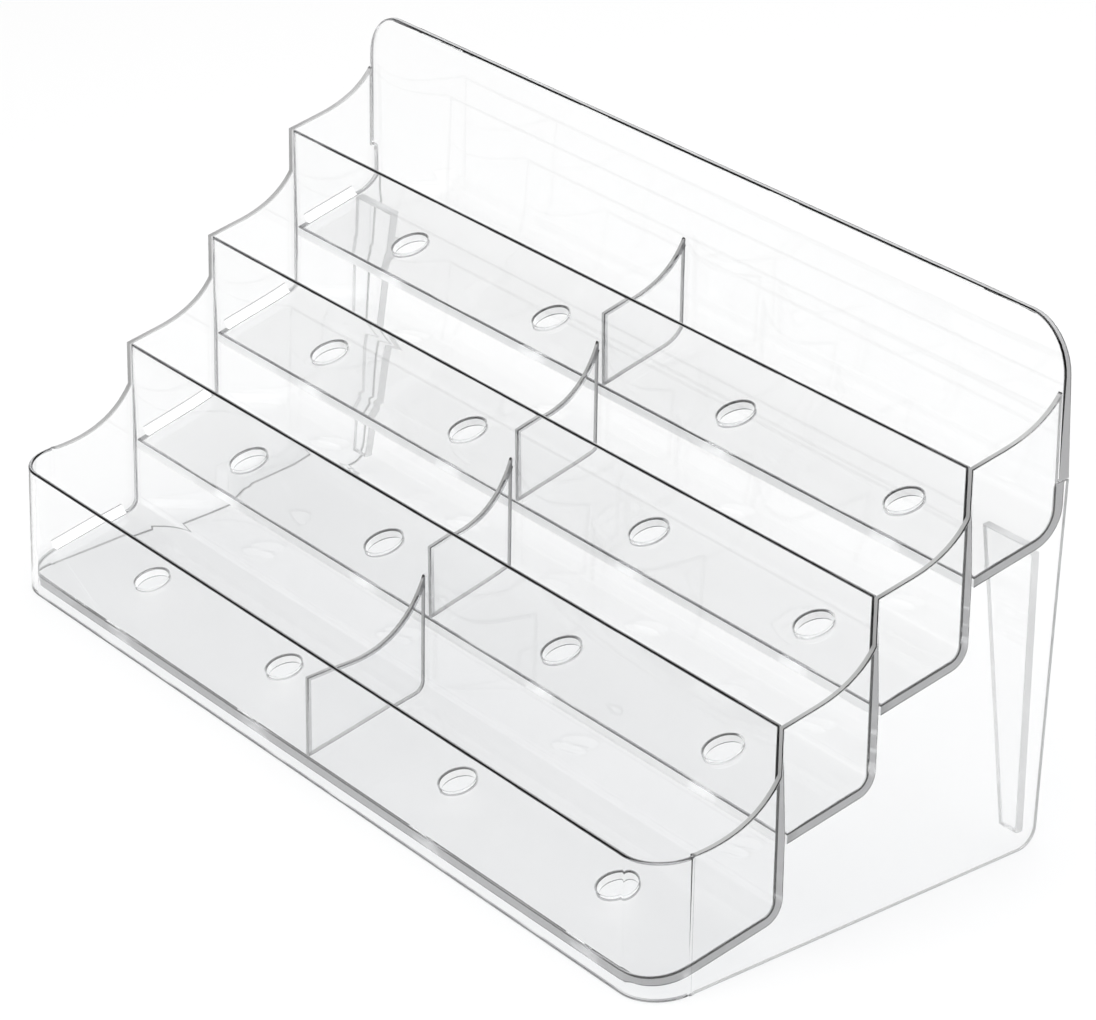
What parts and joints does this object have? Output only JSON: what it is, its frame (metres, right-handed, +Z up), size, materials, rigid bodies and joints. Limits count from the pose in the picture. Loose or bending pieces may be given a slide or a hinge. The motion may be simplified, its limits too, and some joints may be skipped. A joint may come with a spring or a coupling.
{
  "type": "tiered card display holder",
  "caption": "Clear stepped counter holder: trays rising to a tall back panel between scalloped side panels, with dividers, floor holes and a low wrapped front lip.",
  "frame": {"origin": "on the surface the holder stands on, under the centre of its bounding box", "axes": "+X along the width, +Y towards the tall back panel, +Z up"},
  "size_m": [0.2, 0.0898, 0.0919],
  "materials": {
    "clear_tray": "clear polished polystyrene, faint cool grey tint through the edges",
    "clear_front": "clear polished polystyrene with a faint green-grey edge",
    "clear_side": "clear polished polystyrene, dark at the edges",
    "clear_divider": "clear polished polystyrene, thin",
    "clear_gusset": "clear polished polystyrene, thin"
  },
  "bodies": {
    "root": {"front_lip": "clear_front", "tray_1": "clear_tray", "tray_2": "clear_tray", "tray_3": "clear_tray", "tray_4": "clear_tray", "divider_1": "clear_divider", "divider_2": "clear_divider", "divider_3": "clear_divider", "divider_4": "clear_divider", "side_panel_left": "clear_side", "side_panel_right": "clear_side", "rear_gusset_left": "clear_gusset", "rear_gusset_right": "clear_gusset"}
  },
  "joints": []
}
